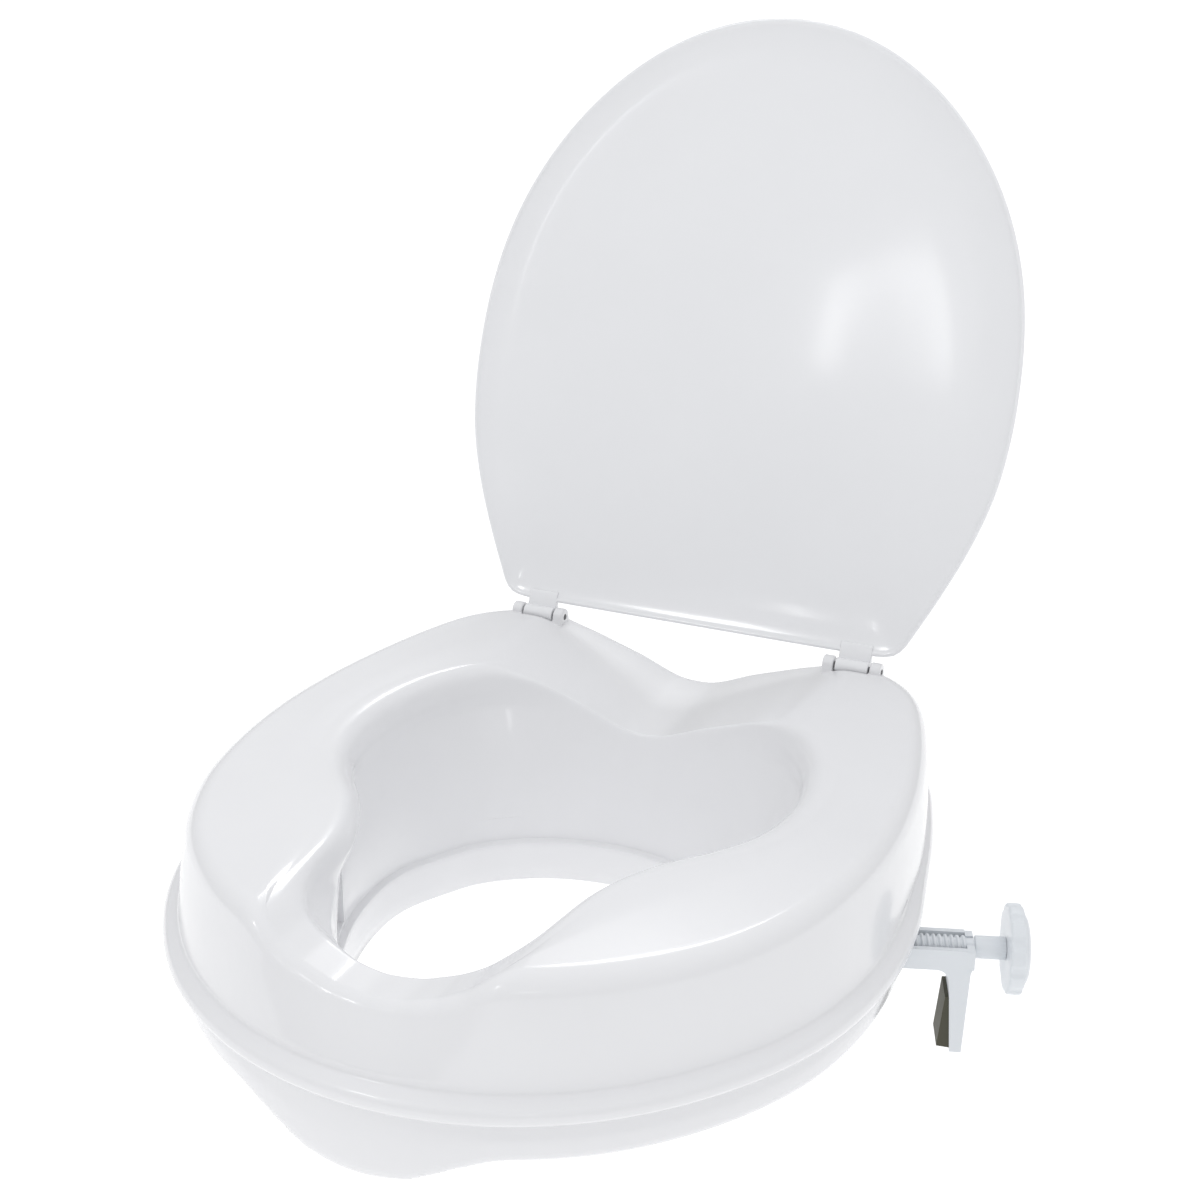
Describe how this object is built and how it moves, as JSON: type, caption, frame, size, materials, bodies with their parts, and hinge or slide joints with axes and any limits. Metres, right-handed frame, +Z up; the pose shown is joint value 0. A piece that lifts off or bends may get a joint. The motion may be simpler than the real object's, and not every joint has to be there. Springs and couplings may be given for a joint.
{
  "type": "raised toilet seat",
  "caption": "Raised toilet seat with a hinged lid, an oval opening whose collar drops into the bowl, and screw clamps that grip the bowl from outside.",
  "frame": {"origin": "on the mirror plane, at the level of the bowl rim that the seat rests on, 36 mm behind the middle of the opening", "axes": "+X to the right when facing the seat from its front, +Y towards the hinge at the back, +Z up"},
  "size_m": [0.4844, 0.5351, 0.4929],
  "materials": {
    "seat_plastic": "glossy white moulding, slightly uneven",
    "lid_plastic": "glossy white, a little cooler than the seat",
    "clamp_plastic": "semi-gloss bluish white",
    "screw_plastic": "semi-gloss white",
    "nut_plastic": "satin pale grey",
    "pad_rubber": "matte dark olive",
    "pin_steel": "dull"
  },
  "bodies": {
    "seat": {"seat_shell": "seat_plastic", "seat_collar": "seat_plastic", "hinge_pin_left": "pin_steel", "clamp_nut_left": "nut_plastic", "guide_strap_left": "clamp_plastic", "strap_screws_left": "pin_steel", "hinge_pin_right": "pin_steel", "clamp_nut_right": "nut_plastic", "guide_strap_right": "clamp_plastic", "strap_screws_right": "pin_steel", "rest_pad_front_right": "pad_rubber", "rest_pad_front_left": "pad_rubber", "rest_pad_rear_right": "pad_rubber", "rest_pad_rear_left": "pad_rubber"},
    "lid": {"lid": "lid_plastic"},
    "arm_right": {"clamp_arm_right": "clamp_plastic", "clamp_pad_right": "pad_rubber"},
    "screw_right": {"clamp_screw_right": "screw_plastic", "clamp_knob_right": "clamp_plastic"},
    "arm_left": {"clamp_arm_left": "clamp_plastic", "clamp_pad_left": "pad_rubber"},
    "screw_left": {"clamp_screw_left": "screw_plastic", "clamp_knob_left": "clamp_plastic"}
  },
  "joints": [
    {"name": "lid_hinge", "type": "hinge", "parent": "seat", "child": "lid", "pos_m": [0, 0.1715, 0.0933], "axis": [1, 0, 0], "range_deg": [0, 110.4]},
    {"name": "arm_slide_right", "type": "slide", "parent": "seat", "child": "arm_right", "axis": [0.9455, 0.3256, 0], "range_m": [-0.009, 0.006]},
    {"name": "screw_turn_right", "type": "hinge", "parent": "arm_right", "child": "screw_right", "pos_m": [0, -0.036, 0.0116], "axis": [0.9455, 0.3256, 0], "range_deg": [-1080, 720]},
    {"name": "arm_slide_left", "type": "slide", "parent": "seat", "child": "arm_left", "axis": [-0.9455, 0.3256, 0], "range_m": [-0.009, 0.006]},
    {"name": "screw_turn_left", "type": "hinge", "parent": "arm_left", "child": "screw_left", "pos_m": [0, -0.036, 0.0116], "axis": [-0.9455, 0.3256, 0], "range_deg": [-1080, 720]}
  ],
  "couplings": [
    {"joint": "screw_turn_right", "follows": "arm_slide_right", "rad_per_m": 2094.4},
    {"joint": "screw_turn_left", "follows": "arm_slide_left", "rad_per_m": 2094.4}
  ]
}
